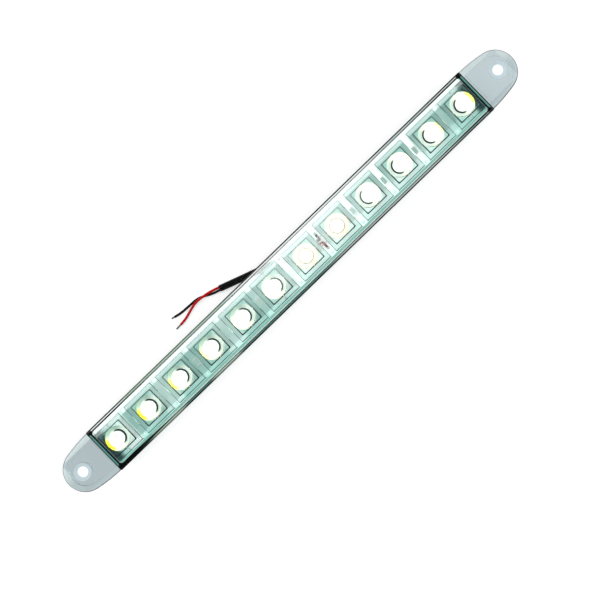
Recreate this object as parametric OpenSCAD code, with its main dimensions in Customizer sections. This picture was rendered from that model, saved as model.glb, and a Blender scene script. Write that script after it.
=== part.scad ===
/* [Lamp row] */
// Number of LEDs in the row
led_count = 12; // [10:1:14]
// Gap between one lens cell and the next
cell_gap = 2.3; // [2.1:0.1:5]

/* [Base] */
// Height of the hollow under the floor, where the lead runs
lead_room = 2.8; // [2.8:0.1:4]
// Thickness of the floor
floor_t = 1; // [0.8:0.1:2]
// Thickness of the base's side and end walls
base_wall = 1.4; // [1.1:0.1:1.8]
// How far the cover's walls reach down round the raised floor
lap = 0.6; // [0.3:0.1:0.7]
// Thickness of the cross ribs under the floor
rib_t = 1; // [0.6:0.1:1.6]
// How far the ribs stay short of the back
rib_lift = 0.4; // [0.2:0.1:1]
// Diameter of the stakes that hold the circuit board
stake_d = 1; // [0.8:0.1:1.3]
// Distance from the lens cells' side to the middle of the stakes
stake_inset = 1; // [0.6:0.1:1.4]
// Diameter of the melted heads of the stakes
stake_head_d = 1.7; // [1.6:0.05:2]
// Height of the melted heads
stake_head_h = 0.5; // [0.3:0.1:0.8]

/* [End tabs] */
// Length of each tab
tab_l = 20; // [18:0.1:26]
// How far the tab is narrower than the body on each side
tab_step = 0.1; // [0:0.05:0.4]
// Radius of the tab's nose
tab_nose_r = 8.9; // [8:0.1:9.4]
// Thickness of the tab
tab_h = 3.2; // [2.8:0.1:3.4]
// Radius along the tab's upper edge
tab_edge_r = 1.2; // [0.4:0.1:1.4]
// Thickness of the tab's top over its hollow
tab_top_t = 1.5; // [1:0.1:1.8]
// Thickness of the tab's side wall
tab_wall = 2.4; // [1.8:0.1:2.6]
// Thickness of the cross wall at the tab's root
tab_root_t = 1.9; // [1:0.1:3]
// Distance from the tab's tip back to the middle of the screw hole
hole_inset = 7.5; // [6.8:0.1:8.5]
// Diameter of the screw hole
hole_d = 4.2; // [3.6:0.1:4.6]
// Diameter of the countersink at the tab's top
sink_d = 6.6; // [6:0.2:7]
// Depth of the countersink
sink_depth = 1.2; // [0.8:0.1:1.4]
// Thickness of the boss round the screw hole
boss_wall = 1.6; // [1.4:0.1:1.9]

/* [Cover] */
// Thickness of the cover's walls
cover_wall = 1.4; // [1.1:0.1:1.7]
// Thickness of the window
window_t = 1.2; // [1.1:0.1:2.5]
// Gap between the lens strip and the window
window_gap = 0.2; // [0.1:0.1:1]
// Gap between the lens cells and the cover's side wall
side_gap = 1.35; // [0.9:0.05:3]
// Radius along the cover's upper edges
cover_edge_r = 0.8; // [0.4:0.1:1]
// Radius of the upright corners
corner_r = 0.6; // [0.3:0.1:0.8]

/* [Circuit board] */
// Thickness of the circuit board
board_t = 1; // [0.8:0.1:1.6]
// How far the board stands out past the lens cells at the sides
board_lip = 0.1; // [0:0.05:0.5]
// Clearance round the raised floor, the stakes and the lens pins
board_fit = 0.1; // [0.05:0.05:0.15]
// Diameter of the hole that the wires come up through
wire_hole_d = 4.5; // [4.5:0.1:5]

/* [LED] */
// Width and length of the LED package
led_w = 3.5; // [3:0.1:3.7]
// Height of the LED package
led_h = 0.8; // [0.7:0.05:1.1]
// Cut corner of the package
led_corner = 0.5; // [0.3:0.1:0.5]
// Narrowest wall between the package's side and the phosphor
cup_rim = 0.3; // [0.3:0.05:0.6]
// Depth of the cup that holds the phosphor
cup_depth = 0.4; // [0.2:0.05:0.5]
// Thickness of the lead metal
leg_t = 0.2; // [0.1:0.05:0.3]
// Width of each metal leg
leg_w = 0.8; // [0.5:0.1:1]
// Distance from the package's edge to a leg
leg_inset = 0.45; // [0.3:0.05:0.6]
// Length of the leg's foot on the board
leg_foot = 0.5; // [0.3:0.1:0.6]
// Height of the leg up the package's side
leg_rise = 0.5; // [0.3:0.05:0.6]

/* [Lens strip] */
// Thickness of the square cell's side walls
skirt_t = 1.85; // [1.6:0.05:2.4]
// Thickness of the outer wall at the two ends of the strip
end_skirt_t = 0.6; // [0.5:0.05:2]
// Gap between the round lens and the cell's side walls
lens_margin = 0.5; // [0.3:0.1:1]
// Radius of the cell's and the pocket's upright corners
cell_corner_r = 0.4; // [0.2:0.1:1]
// Height of the lens strip
strip_h = 4; // [3.8:0.1:6]
// Thickness of the cell's top
strip_top_t = 1; // [0.6:0.1:1.3]
// Diameter of the round lens where it joins the cell's top
lens_d = 9.8; // [9:0.1:10.2]
// Thickness of the lens's rim at its foot
lens_rim = 0.5; // [0.3:0.1:0.8]
// Clearance between the LED's legs and the well round it
well_fit = 0.35; // [0.2:0.05:0.5]
// Gap between the lens foot and the board
lens_lift = 0.6; // [0.4:0.05:0.7]
// Gap between the LED and the bulge over it
led_gap = 0.3; // [0.2:0.05:0.5]
// Height of the bulge at the top of the well
bulge_h = 1.6; // [1:0.1:1.8]
// Width of the web that joins one cell to the next
web_w = 4.6; // [3:0.2:8]
// Clearance between the lens strip and the cover's end wall
strip_fit = 0.2; // [0.1:0.05:0.4]
// Diameter of the pins that locate the strip on the board
pin_d = 1; // [0.8:0.1:1.2]
// How far the pins stay short of the floor
pin_lift = 0.2; // [0.1:0.05:0.4]

/* [Chips] */
// Length of a chip resistor
resistor_l = 3.2; // [2:0.1:4]
// Width of a chip resistor
resistor_w = 1.6; // [1.2:0.1:1.8]
// Height of a chip resistor
resistor_h = 0.6; // [0.4:0.05:0.8]
// Length of the diode's body
diode_l = 2.8; // [2.2:0.1:4]
// Width of the diode's body
diode_w = 1.6; // [1.3:0.1:1.8]
// Height of the diode's body
diode_h = 1.1; // [0.8:0.1:1.4]
// Thickness of the chips' metal ends
cap_t = 0.4; // [0.2:0.1:0.6]

/* [Lead] */
// Diameter of each wire
wire_d = 1; // [0.8:0.05:1]
// Diameter of the bare wire ends
core_d = 0.6; // [0.4:0.05:0.7]
// Length of the bare end of the red wire
red_bare_l = 2.4; // [1:0.1:8]
// Length of the bare end of the black wire
black_bare_l = 1.3; // [1:0.1:8]
// Outer diameter of the sleeve
sleeve_d = 2.7; // [2.65:0.01:2.72]
// Diameter of the sleeve's bore
sleeve_bore_d = 2.36; // [2.32:0.01:2.5]
// Outer diameter of the rubber grommet in the floor
grommet_d = 5; // [4.4:0.1:6]
// Diameter of the grommet's bore
grommet_bore_d = 3.2; // [3:0.1:3.6]
// How far the grommet's flange under the floor stands out on each side
flange_lip = 0.8; // [0.7:0.1:1.1]
// Thickness of that flange
flange_t = 0.4; // [0.2:0.05:0.5]
// Width of the outlet for the lead in the base's side wall
outlet_w = 3.6; // [3.4:0.1:5]
// Height of a solder joint
solder_h = 0.8; // [0.5:0.1:0.8]
// Diameter of a solder joint
solder_d = 1.6; // [1.6:0.05:1.8]

/* [Hidden] */
$fn = 48;
eps = 0.01;

// The well clears the LED's legs, the cell clears the lens, and the cells set the body's size
leg_y = (led_w - leg_w) / 2 - leg_inset;
well_d = 2 * (norm([led_w / 2 + leg_foot, leg_y + leg_w / 2]) + well_fit);
lens_foot_d = well_d + 2 * lens_rim;
pocket_w = lens_d + 2 * lens_margin;
cell_w = pocket_w + 2 * skirt_t;
led_pitch = cell_w + cell_gap;
end_room = pocket_w / 2 + end_skirt_t + strip_fit + cover_wall;
body_l = (led_count - 1) * led_pitch + 2 * end_room;
body_w = cell_w + 2 * (side_gap + cover_wall);
stake_y = cell_w / 2 - stake_inset;

floor_top = lead_room + floor_t;
ledge_z = floor_top - lap;
board_top = floor_top + board_t;
strip_top = board_top + strip_h;
window_z = strip_top + window_gap;
lamp_h = window_z + window_t;

inside_l = body_l - 2 * cover_wall;
inside_w = body_w - 2 * cover_wall;
floor_l = inside_l - 2 * board_fit;
floor_w = inside_w - 2 * board_fit;
board_l = floor_l;
board_w = cell_w + 2 * board_lip;
strip_l = inside_l - 2 * strip_fit;

led_x = [for (i = [0 : led_count - 1]) (i - (led_count - 1) / 2) * led_pitch];
gap_x = [for (i = [0 : led_count - 2]) led_x[i] + led_pitch / 2];
// The wires come up in one gap between cells, and the chips lie in others, counted from it
wire_gap = floor(led_count / 2);
wire_x = gap_x[wire_gap];
resistor_gaps = [-4, -2, 2, 3];
diode_gap = 1;
pinned_cells = [0, wire_gap - 1, led_count - 1];
pin_y = (cell_w + pocket_w) / 4;

// The tab's outline is two wide arcs and a round nose, each tangent to the next
tab_half_w = body_w / 2 - tab_step;
tab_overlap = 0.8;
nose_x = tab_l - tab_nose_r;
hole_x = tab_l - hole_inset;
boss_d = hole_d + 2 * boss_wall;
side_r = (nose_x * nose_x + tab_half_w * tab_half_w - tab_nose_r * tab_nose_r)
    / (2 * (tab_half_w - tab_nose_r));
side_y = side_r - tab_half_w;
nose_angle = atan2(side_y, nose_x);

lens_z = strip_top - strip_top_t;
bulge_z = board_top + led_h + led_gap;
phosphor_d = led_w - 2 * cup_rim;
cup_foot_d = phosphor_d - cup_depth;

// The lens's outside is a bowl that throws the LED's light forward: r * r = 4 * bowl_f * (z - bowl_z)
foot_z = board_top + lens_lift;
foot_r = lens_foot_d / 2;
below_led = led_h - lens_lift;
bowl_f = (below_led + norm([below_led, foot_r])) / 2;
bowl_z = board_top + led_h - bowl_f;
bowl_steps = 8;
flange_d = grommet_d + 2 * flange_lip;
cap_rim = 0.05;

// The sleeve's route, then each wire's, from its solder joint to its stripped end
sleeve_route = [
    [12.8, 1.2, 1.38], [8.7, 2.6, 1.38], [4.6, 4, 1.38], [-0.3, 5.7, 1.38], [-5.2, 7.4, 1.38],
    [-10.1, 9.1, 1.38], [-15, 10.8, 1.38], [-19.8, 12.5, 1.38], [-24.6, 14.2, 1.38]
];
red_route = [
    [16.8, -3.2, 5.4], [16.8, -2.4, 5.4], [16.8, -1.6, 5.1], [16.8, -1.1, 4.6], [16.8, -0.9, 4],
    [16.8, -0.8, 3.3], [16.6, -0.7, 2.6], [16.2, -0.6, 2], [15.6, -0.4, 1.6], [14.8, -0.1, 1.4],
    [12.6, 0.7, 1.38], [8.6, 2.2, 1], [4.6, 4, 0.83], [-0.2, 6.1, 1], [-5, 7.9, 1.38],
    [-9.9, 9.6, 1.38], [-14.8, 11.3, 1.38], [-19.6, 13, 1.38], [-24.4, 14.7, 1.4],
    [-26.6, 15.4, 1.6], [-28.8, 16, 1.7], [-31, 16.4, 1.7], [-33.2, 16.7, 1.6],
    [-35.4, 16.7, 1.35], [-37.6, 16.3, 0.9], [-39.8, 15.7, 0.55], [-42, 15.1, 0.55],
    [-43.8, 14.8, 0.55], [-45.4, 14.7, 0.55]
];
black_route = [
    [16.8, 3.2, 5.4], [16.8, 2.4, 5.4], [16.8, 1.6, 5.1], [16.8, 1.1, 4.6], [16.8, 0.9, 4],
    [16.8, 0.8, 3.3], [16.6, 0.8, 2.6], [16.2, 0.9, 2], [15.6, 1, 1.6], [14.8, 1.1, 1.4],
    [13, 1.7, 1.38], [8.8, 3, 1.76], [4.6, 4, 1.93], [-0.4, 5.3, 1.76], [-5.4, 6.9, 1.38],
    [-10.3, 8.6, 1.38], [-15.2, 10.3, 1.38], [-20, 12, 1.38], [-24.8, 13.7, 1.36],
    [-26.8, 14.3, 1], [-28.8, 15.1, 0.6], [-30.9, 16.2, 0.55], [-32.9, 17.1, 0.55],
    [-35, 17.5, 0.55], [-37.1, 17.6, 0.55], [-39.2, 17.7, 0.55], [-41.3, 17.8, 0.55],
    [-43.3, 18.1, 0.55], [-45, 18.5, 0.55]
];
solder_y = 3.7;
outlet_x = -12.7;
outlet_angle = -19;
tube_sides = 8;

function unit(v) = v / norm(v);
function tangent(route, i) = unit(route[min(i + 1, len(route) - 1)] - route[max(i - 1, 0)]);
// A direction across the route at each point, carried along without a twist
function across(route, i) = i == 0
    ? unit(cross(tangent(route, 0), [1, 0, 0]))
    : let (s = across(route, i - 1), t = tangent(route, i)) unit(s - (s * t) * t);
function ring(route, i, r) = let (t = tangent(route, i), s = across(route, i), b = cross(t, s))
    [for (k = [0 : tube_sides - 1]) let (a = k * 360 / tube_sides)
        route[i] + r * (cos(a) * s + sin(a) * b)];
function tube_points(route, r) = [for (i = [0 : len(route) - 1]) each ring(route, i, r)];
function tube_walls(first, rings) = [for (i = [0 : rings - 2]) for (k = [0 : tube_sides - 1])
    let (a = first + i * tube_sides, n = (k + 1) % tube_sides)
        [a + k, a + n, a + n + tube_sides, a + k + tube_sides]];
function cap(first) = [for (k = [0 : tube_sides - 1]) first + k];
function turned(face) = [for (k = [len(face) - 1 : -1 : 0]) face[k]];
function annulus(outer, inner) = [for (k = [0 : tube_sides - 1])
    let (n = (k + 1) % tube_sides) [outer + n, outer + k, inner + k, inner + n]];
function bare_end(route, l) = let (last = route[len(route) - 1])
    [last, last + l * tangent(route, len(route) - 1)];

digits = ["01", "02", "03", "04", "05", "06", "07", "08", "09", "10", "11", "12", "13", "14"];
led_names = [for (i = [0 : led_count - 1]) str("led_", digits[i])];

// A flat plate with round upright corners, centred on the origin
module plate(l, w, h, r) {
    linear_extrude(h) {
        square([l - 2 * r, w], center = true);
        square([l, w - 2 * r], center = true);
        for (x = [-1, 1], y = [-1, 1]) translate([x * (l / 2 - r), y * (w / 2 - r)]) circle(r);
    }
}

// A low round cap that stands on z = 0
module dome(d, h) {
    ball_r = (d * d / 4 + h * h) / (2 * h);
    intersection() {
        translate([0, 0, h - ball_r]) sphere(ball_r);
        cylinder(d = d + 1, h = h + 1);
    }
}

// A disc with a round upper edge
module soft_disc(r, h, edge) {
    rotate_extrude($fn = 180) {
        square([r - edge, h]);
        square([r, h - edge]);
        translate([r - edge, h - edge]) intersection() {
            circle(edge);
            square(edge);
        }
    }
}

// The part of the tab before its nose, seen from above
module side_region() {
    reach = 3 * tab_nose_r;
    tip = [nose_x + reach * cos(nose_angle), reach * sin(nose_angle)];
    polygon([
        [-tab_overlap, -body_w], [nose_x, -body_w], [tip.x, -tip.y], [nose_x, 0],
        tip, [nose_x, body_w], [-tab_overlap, body_w]
    ]);
}

module tab_outline(inset) {
    intersection() {
        translate([0, -side_y]) circle(side_r - inset, $fn = 180);
        translate([0, side_y]) circle(side_r - inset, $fn = 180);
        side_region();
    }
    translate([nose_x, 0]) circle(tab_nose_r - inset);
}

module tab_hollow() {
    roof = tab_h - tab_top_t;
    difference() {
        translate([0, 0, -eps]) linear_extrude(roof + eps) intersection() {
            tab_outline(tab_wall);
            translate([tab_root_t, -body_w / 2]) square([tab_l, body_w]);
        }
        translate([hole_x, 0, -2 * eps]) cylinder(d = boss_d, h = roof + 3 * eps);
    }
}

module screw_hole() {
    translate([hole_x, 0, -eps]) cylinder(d = hole_d, h = tab_h + 2 * eps);
    translate([hole_x, 0, tab_h - sink_depth])
        cylinder(d1 = hole_d, d2 = sink_d, h = sink_depth);
}

// One tab, with its root at x = 0 and its nose towards +X
module tab() {
    difference() {
        union() {
            intersection() {
                translate([0, -side_y, 0]) soft_disc(side_r, tab_h, tab_edge_r);
                translate([0, side_y, 0]) soft_disc(side_r, tab_h, tab_edge_r);
                linear_extrude(tab_h) side_region();
            }
            translate([nose_x, 0, 0]) soft_disc(tab_nose_r, tab_h, tab_edge_r);
        }
        tab_hollow();
        screw_hole();
    }
}

module ribs() {
    for (x = gap_x) if (x < outlet_x || x > wire_x + flange_d / 2)
        translate([x - rib_t / 2, -body_w / 2, rib_lift]) cube([rib_t, body_w, lead_room]);
}

module stakes() {
    for (i = [0 : led_count - 2], side = [-1, 1]) translate([gap_x[i], side * stake_y, 0]) {
        translate([0, 0, floor_top]) cylinder(d = stake_d, h = board_t);
        translate([0, 0, board_top]) dome(stake_head_d, stake_head_h);
    }
}

module outlet() {
    translate([outlet_x, body_w / 2, lead_room / 2 - eps]) rotate(outlet_angle)
        cube([body_w, outlet_w, lead_room + 2 * eps], center = true);
}

module base() {
    color([0.77, 0.83, 0.86, 0.75]) {
        difference() {
            union() {
                plate(body_l, body_w, ledge_z, corner_r);
                plate(floor_l, floor_w, floor_top, corner_r);
            }
            difference() {
                translate([0, 0, -eps])
                    plate(body_l - 2 * base_wall, body_w - 2 * base_wall, lead_room + eps, corner_r);
                ribs();
            }
            outlet();
            translate([wire_x, 0, 0]) cylinder(d = grommet_d, h = floor_top + 1);
        }
        for (side = [0, 180]) rotate(side) translate([body_l / 2, 0, 0]) tab();
        stakes();
    }
}

// The cover's outer form: its section, its side view and its plan, each cut from the others
module cover_form() {
    h = lamp_h - ledge_z;
    intersection() {
        translate([0, 0, ledge_z]) plate(body_l, body_w, h, corner_r);
        rotate([90, 0, 90]) translate([0, 0, -body_l / 2]) linear_extrude(body_l)
            round_top(body_w);
        rotate([90, 0, 0]) translate([0, 0, -body_w / 2]) linear_extrude(body_w)
            round_top(body_l);
    }
}

// An upright section as wide as w, with round upper corners
module round_top(w) {
    r = cover_edge_r;
    translate([-w / 2, 0]) square([w, lamp_h - r]);
    translate([r - w / 2, 0]) square([w - 2 * r, lamp_h]);
    for (x = [-1, 1]) translate([x * (w / 2 - r), lamp_h - r]) circle(r);
}

module cover() {
    color([0.9, 0.96, 0.97, 0.35]) difference() {
        cover_form();
        translate([0, 0, ledge_z - eps])
            plate(inside_l, inside_w, window_z - ledge_z + eps, corner_r);
    }
}

module circuit_board() {
    color("mediumaquamarine") translate([0, 0, floor_top]) difference() {
        plate(board_l, board_w, board_t, corner_r);
        translate([0, 0, -eps]) {
            for (x = gap_x, side = [-1, 1]) translate([x, side * stake_y, 0])
                cylinder(d = stake_d + 2 * board_fit, h = board_t + 2 * eps);
            for (i = pinned_cells, side = [-1, 1]) translate([led_x[i], side * pin_y, 0])
                cylinder(d = pin_d + 2 * board_fit, h = board_t + 2 * eps);
            translate([wire_x, 0, 0]) cylinder(d = wire_hole_d, h = board_t + 2 * eps);
        }
    }
}

// The section of one round lens: a bowl outside, a well for the LED inside with a bulge over it
module lens_section() {
    well_r = well_d / 2;
    ball_r = (well_r * well_r + bulge_h * bulge_h) / (2 * bulge_h);
    difference() {
        polygon([
            [0, foot_z],
            for (k = [0 : bowl_steps]) let (r = foot_r + (lens_d / 2 - foot_r) * k / bowl_steps)
                [r, bowl_z + r * r / (4 * bowl_f)],
            [lens_d / 2, lens_z], [0, lens_z]
        ]);
        difference() {
            translate([-1, foot_z - 1]) square([1 + well_r, bulge_z + bulge_h - foot_z + 1]);
            translate([0, bulge_z + ball_r]) circle(ball_r, $fn = 180);
        }
    }
}

module lens_strip() {
    color([0.85, 0.95, 0.93, 0.45]) {
        difference() {
            intersection() {
                for (x = led_x) translate([x, 0, board_top])
                    plate(cell_w, cell_w, strip_h, cell_corner_r);
                translate([-strip_l / 2, -cell_w, 0]) cube([strip_l, 2 * cell_w, lamp_h]);
            }
            for (x = led_x) translate([x, 0, board_top - eps])
                plate(pocket_w, pocket_w, lens_z - board_top + eps, cell_corner_r);
        }
        for (x = led_x) translate([x, 0, 0]) rotate_extrude() lens_section();
        for (x = gap_x) translate([x, 0, lens_z + strip_top_t / 2])
            cube([led_pitch - cell_w, web_w, strip_top_t], center = true);
        for (i = pinned_cells, side = [-1, 1])
            translate([led_x[i], side * pin_y, floor_top + pin_lift])
                cylinder(d = pin_d, h = board_t - pin_lift);
    }
}

module led_package(i) {
    half = led_w / 2;
    color("white") translate([led_x[i], 0, board_top]) difference() {
        linear_extrude(led_h) polygon([
            [-half, -half], [half, -half], [half, half - led_corner],
            [half - led_corner, half], [-half, half]
        ]);
        translate([0, 0, led_h - cup_depth])
            cylinder(d1 = cup_foot_d, d2 = phosphor_d, h = cup_depth);
    }
}

module led_phosphor(i) {
    color("khaki") translate([led_x[i], 0, board_top + led_h - cup_depth])
        cylinder(d1 = cup_foot_d, d2 = phosphor_d, h = cup_depth);
}

module led_legs(i) {
    color("silver") translate([led_x[i], 0, board_top])
        for (side = [-1, 1], y = [-leg_y, leg_y]) translate([0, y, 0]) rotate([90, 0, 0])
            linear_extrude(leg_w, center = true) {
                translate([side * (led_w + leg_foot) / 2, leg_t / 2])
                    square([leg_foot, leg_t], center = true);
                translate([side * (led_w + leg_t) / 2, leg_rise / 2])
                    square([leg_t, leg_rise], center = true);
            }
}

// A chip with a metal cap on each end, lying across the lamp in a gap between two cells
module chip(gap, l, w, h, shade) {
    translate([gap_x[wire_gap + gap], 0, board_top]) {
        color(shade) translate([-w / 2, -l / 2, cap_rim]) cube([w, l, h]);
        color("silver") for (side = [-1, 1])
            translate([-w / 2 - cap_rim, side * (l / 2 - cap_t / 2) - cap_t / 2, 0])
                cube([w + 2 * cap_rim, cap_t, h + 2 * cap_rim]);
    }
}

module resistor(k) chip(resistor_gaps[k], resistor_l, resistor_w, resistor_h, "black");

module diode() chip(diode_gap, diode_l, diode_w, diode_h, "dimgray");

module cable_grommet() {
    color("dimgray") translate([wire_x, 0, 0]) difference() {
        union() {
            translate([0, 0, lead_room]) cylinder(d = grommet_d, h = floor_t);
            translate([0, 0, lead_room - flange_t]) cylinder(d = flange_d, h = flange_t);
        }
        translate([0, 0, lead_room - flange_t - eps])
            cylinder(d = grommet_bore_d, h = floor_t + flange_t + 2 * eps);
    }
}

// A solder joint that starts where the wire's insulation ends
module solder(side, wire_end) {
    color("silver") difference() {
        translate([wire_x, side * solder_y, board_top]) dome(solder_d, solder_h);
        translate([wire_x, 0, board_top])
            cube([2 * solder_d, 2 * abs(wire_end), 4 * solder_h], center = true);
    }
}

module tube(route, r) {
    rings = len(route);
    polyhedron(
        tube_points(route, r),
        concat([turned(cap(0))], tube_walls(0, rings), [cap((rings - 1) * tube_sides)])
    );
}

module hollow_tube(route, r, bore_r) {
    rings = len(route);
    inner = rings * tube_sides;
    last = inner - tube_sides;
    polyhedron(
        concat(tube_points(route, r), tube_points(route, bore_r)),
        concat(
            tube_walls(0, rings),
            [for (face = tube_walls(inner, rings)) turned(face)],
            annulus(0, inner),
            [for (face = annulus(last, inner + last)) turned(face)]
        )
    );
}

module lead_sleeve() color([0.1, 0.1, 0.1]) hollow_tube(sleeve_route, sleeve_d / 2, sleeve_bore_d / 2);
module wire_red() color("red") tube(red_route, wire_d / 2);
module wire_black() color([0.1, 0.1, 0.1]) tube(black_route, wire_d / 2);
module bare_end_red() color("silver") tube(bare_end(red_route, red_bare_l), core_d / 2);
module bare_end_black() color("silver") tube(bare_end(black_route, black_bare_l), core_d / 2);

base();
cover();
circuit_board();
lens_strip();
for (i = [0 : led_count - 1]) {
    led_package(i);
    led_phosphor(i);
    led_legs(i);
}
for (k = [0 : 3]) resistor(k);
diode();
cable_grommet();
solder(-1, red_route[0].y);  // solder_red
solder(1, black_route[0].y);  // solder_black
lead_sleeve();
wire_red();
wire_black();
bare_end_red();
bare_end_black();
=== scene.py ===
# The looks of a slim clear LED light bar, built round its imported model
import math

import bmesh
import bpy
from mathutils import Matrix, Vector


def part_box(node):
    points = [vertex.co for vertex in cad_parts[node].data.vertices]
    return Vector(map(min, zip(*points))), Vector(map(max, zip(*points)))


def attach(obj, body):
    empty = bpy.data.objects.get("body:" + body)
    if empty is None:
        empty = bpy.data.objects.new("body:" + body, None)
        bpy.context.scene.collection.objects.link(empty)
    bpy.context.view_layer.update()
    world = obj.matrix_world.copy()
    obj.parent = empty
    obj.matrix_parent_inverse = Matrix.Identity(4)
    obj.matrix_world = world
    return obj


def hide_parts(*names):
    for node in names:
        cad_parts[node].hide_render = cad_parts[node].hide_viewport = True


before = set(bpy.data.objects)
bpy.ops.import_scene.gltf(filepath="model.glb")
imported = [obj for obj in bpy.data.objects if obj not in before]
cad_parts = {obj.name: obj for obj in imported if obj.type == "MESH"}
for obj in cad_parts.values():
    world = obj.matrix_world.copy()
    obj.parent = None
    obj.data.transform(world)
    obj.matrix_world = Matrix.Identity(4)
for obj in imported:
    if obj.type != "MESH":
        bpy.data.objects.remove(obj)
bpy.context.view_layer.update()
scene = bpy.context.scene
mm = 0.001


def boxOf(node):
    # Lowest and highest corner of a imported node, in mm
    low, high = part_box(node)
    return low / mm, high / mm


def middleOf(node):
    low, high = boxOf(node)
    return (low + high) / 2


# The row of LEDs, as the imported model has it, in mm
row = {
    "count": 12,
    "pitch": (middleOf("led_12_package").x - middleOf("led_01_package").x) / 11,
    "boardTop": boxOf("circuit_board")[1].z,
}
print("frame loaded:", len(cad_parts), "nodes")


# Camera: looks straight down over its foot, its picture shifted to the aim. In mm and degrees
camera = {
    "foot": (16.9, 1.9),
    "aim": (-5.1, -10.7),
    "level": 5,
    "distance": 600,
    "rowAngle": 44.1,
    "frameWidth": 232.5,
    "sensor": 36,
}


def makeCamera():
    place = Vector((*camera["foot"], camera["level"] + camera["distance"])) * mm
    angle = math.radians(camera["rowAngle"])
    right = Vector((math.cos(angle), -math.sin(angle), 0))
    up = Vector((math.sin(angle), math.cos(angle), 0))
    turn = Matrix((right, up, Vector((0, 0, 1)))).transposed().to_4x4()
    shift = Vector((*camera["aim"], 0)) - Vector((*camera["foot"], 0))
    data = bpy.data.cameras.new("camera")
    data.sensor_width = camera["sensor"]
    data.lens = camera["sensor"] * camera["distance"] / camera["frameWidth"]
    data.shift_x = shift.dot(right) / camera["frameWidth"]
    data.shift_y = shift.dot(up) / camera["frameWidth"]
    data.clip_start = 0.01
    eye = bpy.data.objects.new("camera", data)
    eye.matrix_world = Matrix.Translation(place) @ turn
    scene.collection.objects.link(eye)
    scene.camera = eye


makeCamera()
scene.view_settings.view_transform = "Standard"
scene.cycles.max_bounces = 24
scene.cycles.transmission_bounces = 24
scene.cycles.glossy_bounces = 12
scene.cycles.transparent_max_bounces = 32
scene.cycles.caustics_reflective = False
scene.cycles.caustics_refractive = False
print("camera made")


# Small tools for shader nodes
def addNode(tree, kind, **settings):
    node = tree.nodes.new(kind)
    for key, value in settings.items():
        setattr(node, key, value)
    return node


def setInputs(node, **values):
    for key, value in values.items():
        node.inputs[key.replace("_", " ")].default_value = value
    return node


def newGroup(name, inputs, outputs):
    group = bpy.data.node_groups.new(name, "ShaderNodeTree")
    for label, value in inputs.items():
        socket = group.interface.new_socket(name=label, in_out="INPUT", socket_type="NodeSocketFloat")
        socket.default_value = value
    for label, kind in outputs.items():
        group.interface.new_socket(name=label, in_out="OUTPUT", socket_type=kind)
    return group, group.nodes.new("NodeGroupInput"), group.nodes.new("NodeGroupOutput")


def useGroup(tree, group, **values):
    node = addNode(tree, "ShaderNodeGroup", node_tree=group)
    for key, value in values.items():
        node.inputs[key].default_value = value
    return node


def calc(tree, operation, *values):
    # A maths node on numbers or sockets
    node = addNode(tree, "ShaderNodeMath", operation=operation)
    for socket, value in zip(node.inputs, values):
        if isinstance(value, (int, float)):
            socket.default_value = value
        else:
            tree.links.new(value, socket)
    return node.outputs[0]


def times(tree, a, b):
    return calc(tree, "MULTIPLY", a, b)


def plus(tree, a, b):
    return calc(tree, "ADD", a, b)


def larger(tree, a, b):
    return calc(tree, "MAXIMUM", a, b)


def oneMinus(tree, value):
    return calc(tree, "SUBTRACT", 1.0, value)


def sizeOf(tree, value):
    return calc(tree, "ABSOLUTE", value)


def ramp(tree, source, low, high, start=0.0, end=1.0):
    # Goes softly from start to end as the source goes from low to high
    spread = addNode(tree, "ShaderNodeMapRange", interpolation_type="SMOOTHSTEP")
    setInputs(spread, From_Min=low, From_Max=high, To_Min=start, To_Max=end)
    tree.links.new(source, spread.inputs["Value"])
    return spread.outputs["Result"]


def blend(tree, factor, a, b):
    # Mixes two colours, each a tuple or a socket
    mix = addNode(tree, "ShaderNodeMix", data_type="RGBA", clamp_result=False)
    for key, value in (("A", a), ("B", b)):
        if isinstance(value, tuple):
            mix.inputs[key].default_value = (*value, 1)
        else:
            tree.links.new(value, mix.inputs[key])
    tree.links.new(factor, mix.inputs["Factor"])
    return mix.outputs["Result"]


def between(tree, source, low, high, soft):
    # 1 between low and high, with soft ends
    rise = ramp(tree, source, low - soft, low)
    fall = ramp(tree, source, high, high + soft, 1.0, 0.0)
    return times(tree, rise, fall)


def newMaterial(name):
    material = bpy.data.materials.new(name)
    material.use_nodes = True
    tree = material.node_tree
    return material, tree, tree.nodes["Principled BSDF"]


def makeGrain():
    # Fine noise for roughness and bump: Scale counts grains per metre
    inputs = {"Scale": 2000.0, "Smooth": 0.3, "Rough": 0.5}
    outputs = {"Roughness": "NodeSocketFloat", "Height": "NodeSocketFloat"}
    group, taken, given = newGroup("fineGrain", inputs, outputs)
    place = addNode(group, "ShaderNodeTexCoord")
    noise = addNode(group, "ShaderNodeTexNoise")
    setInputs(noise, Detail=4.0, Roughness=0.6)
    spread = addNode(group, "ShaderNodeMapRange")
    setInputs(spread, From_Min=0.3, From_Max=0.7)
    link = group.links.new
    link(place.outputs["Object"], noise.inputs["Vector"])
    link(taken.outputs["Scale"], noise.inputs["Scale"])
    link(noise.outputs["Fac"], spread.inputs["Value"])
    link(taken.outputs["Smooth"], spread.inputs["To Min"])
    link(taken.outputs["Rough"], spread.inputs["To Max"])
    link(spread.outputs["Result"], given.inputs["Roughness"])
    link(noise.outputs["Fac"], given.inputs["Height"])
    return group


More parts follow.
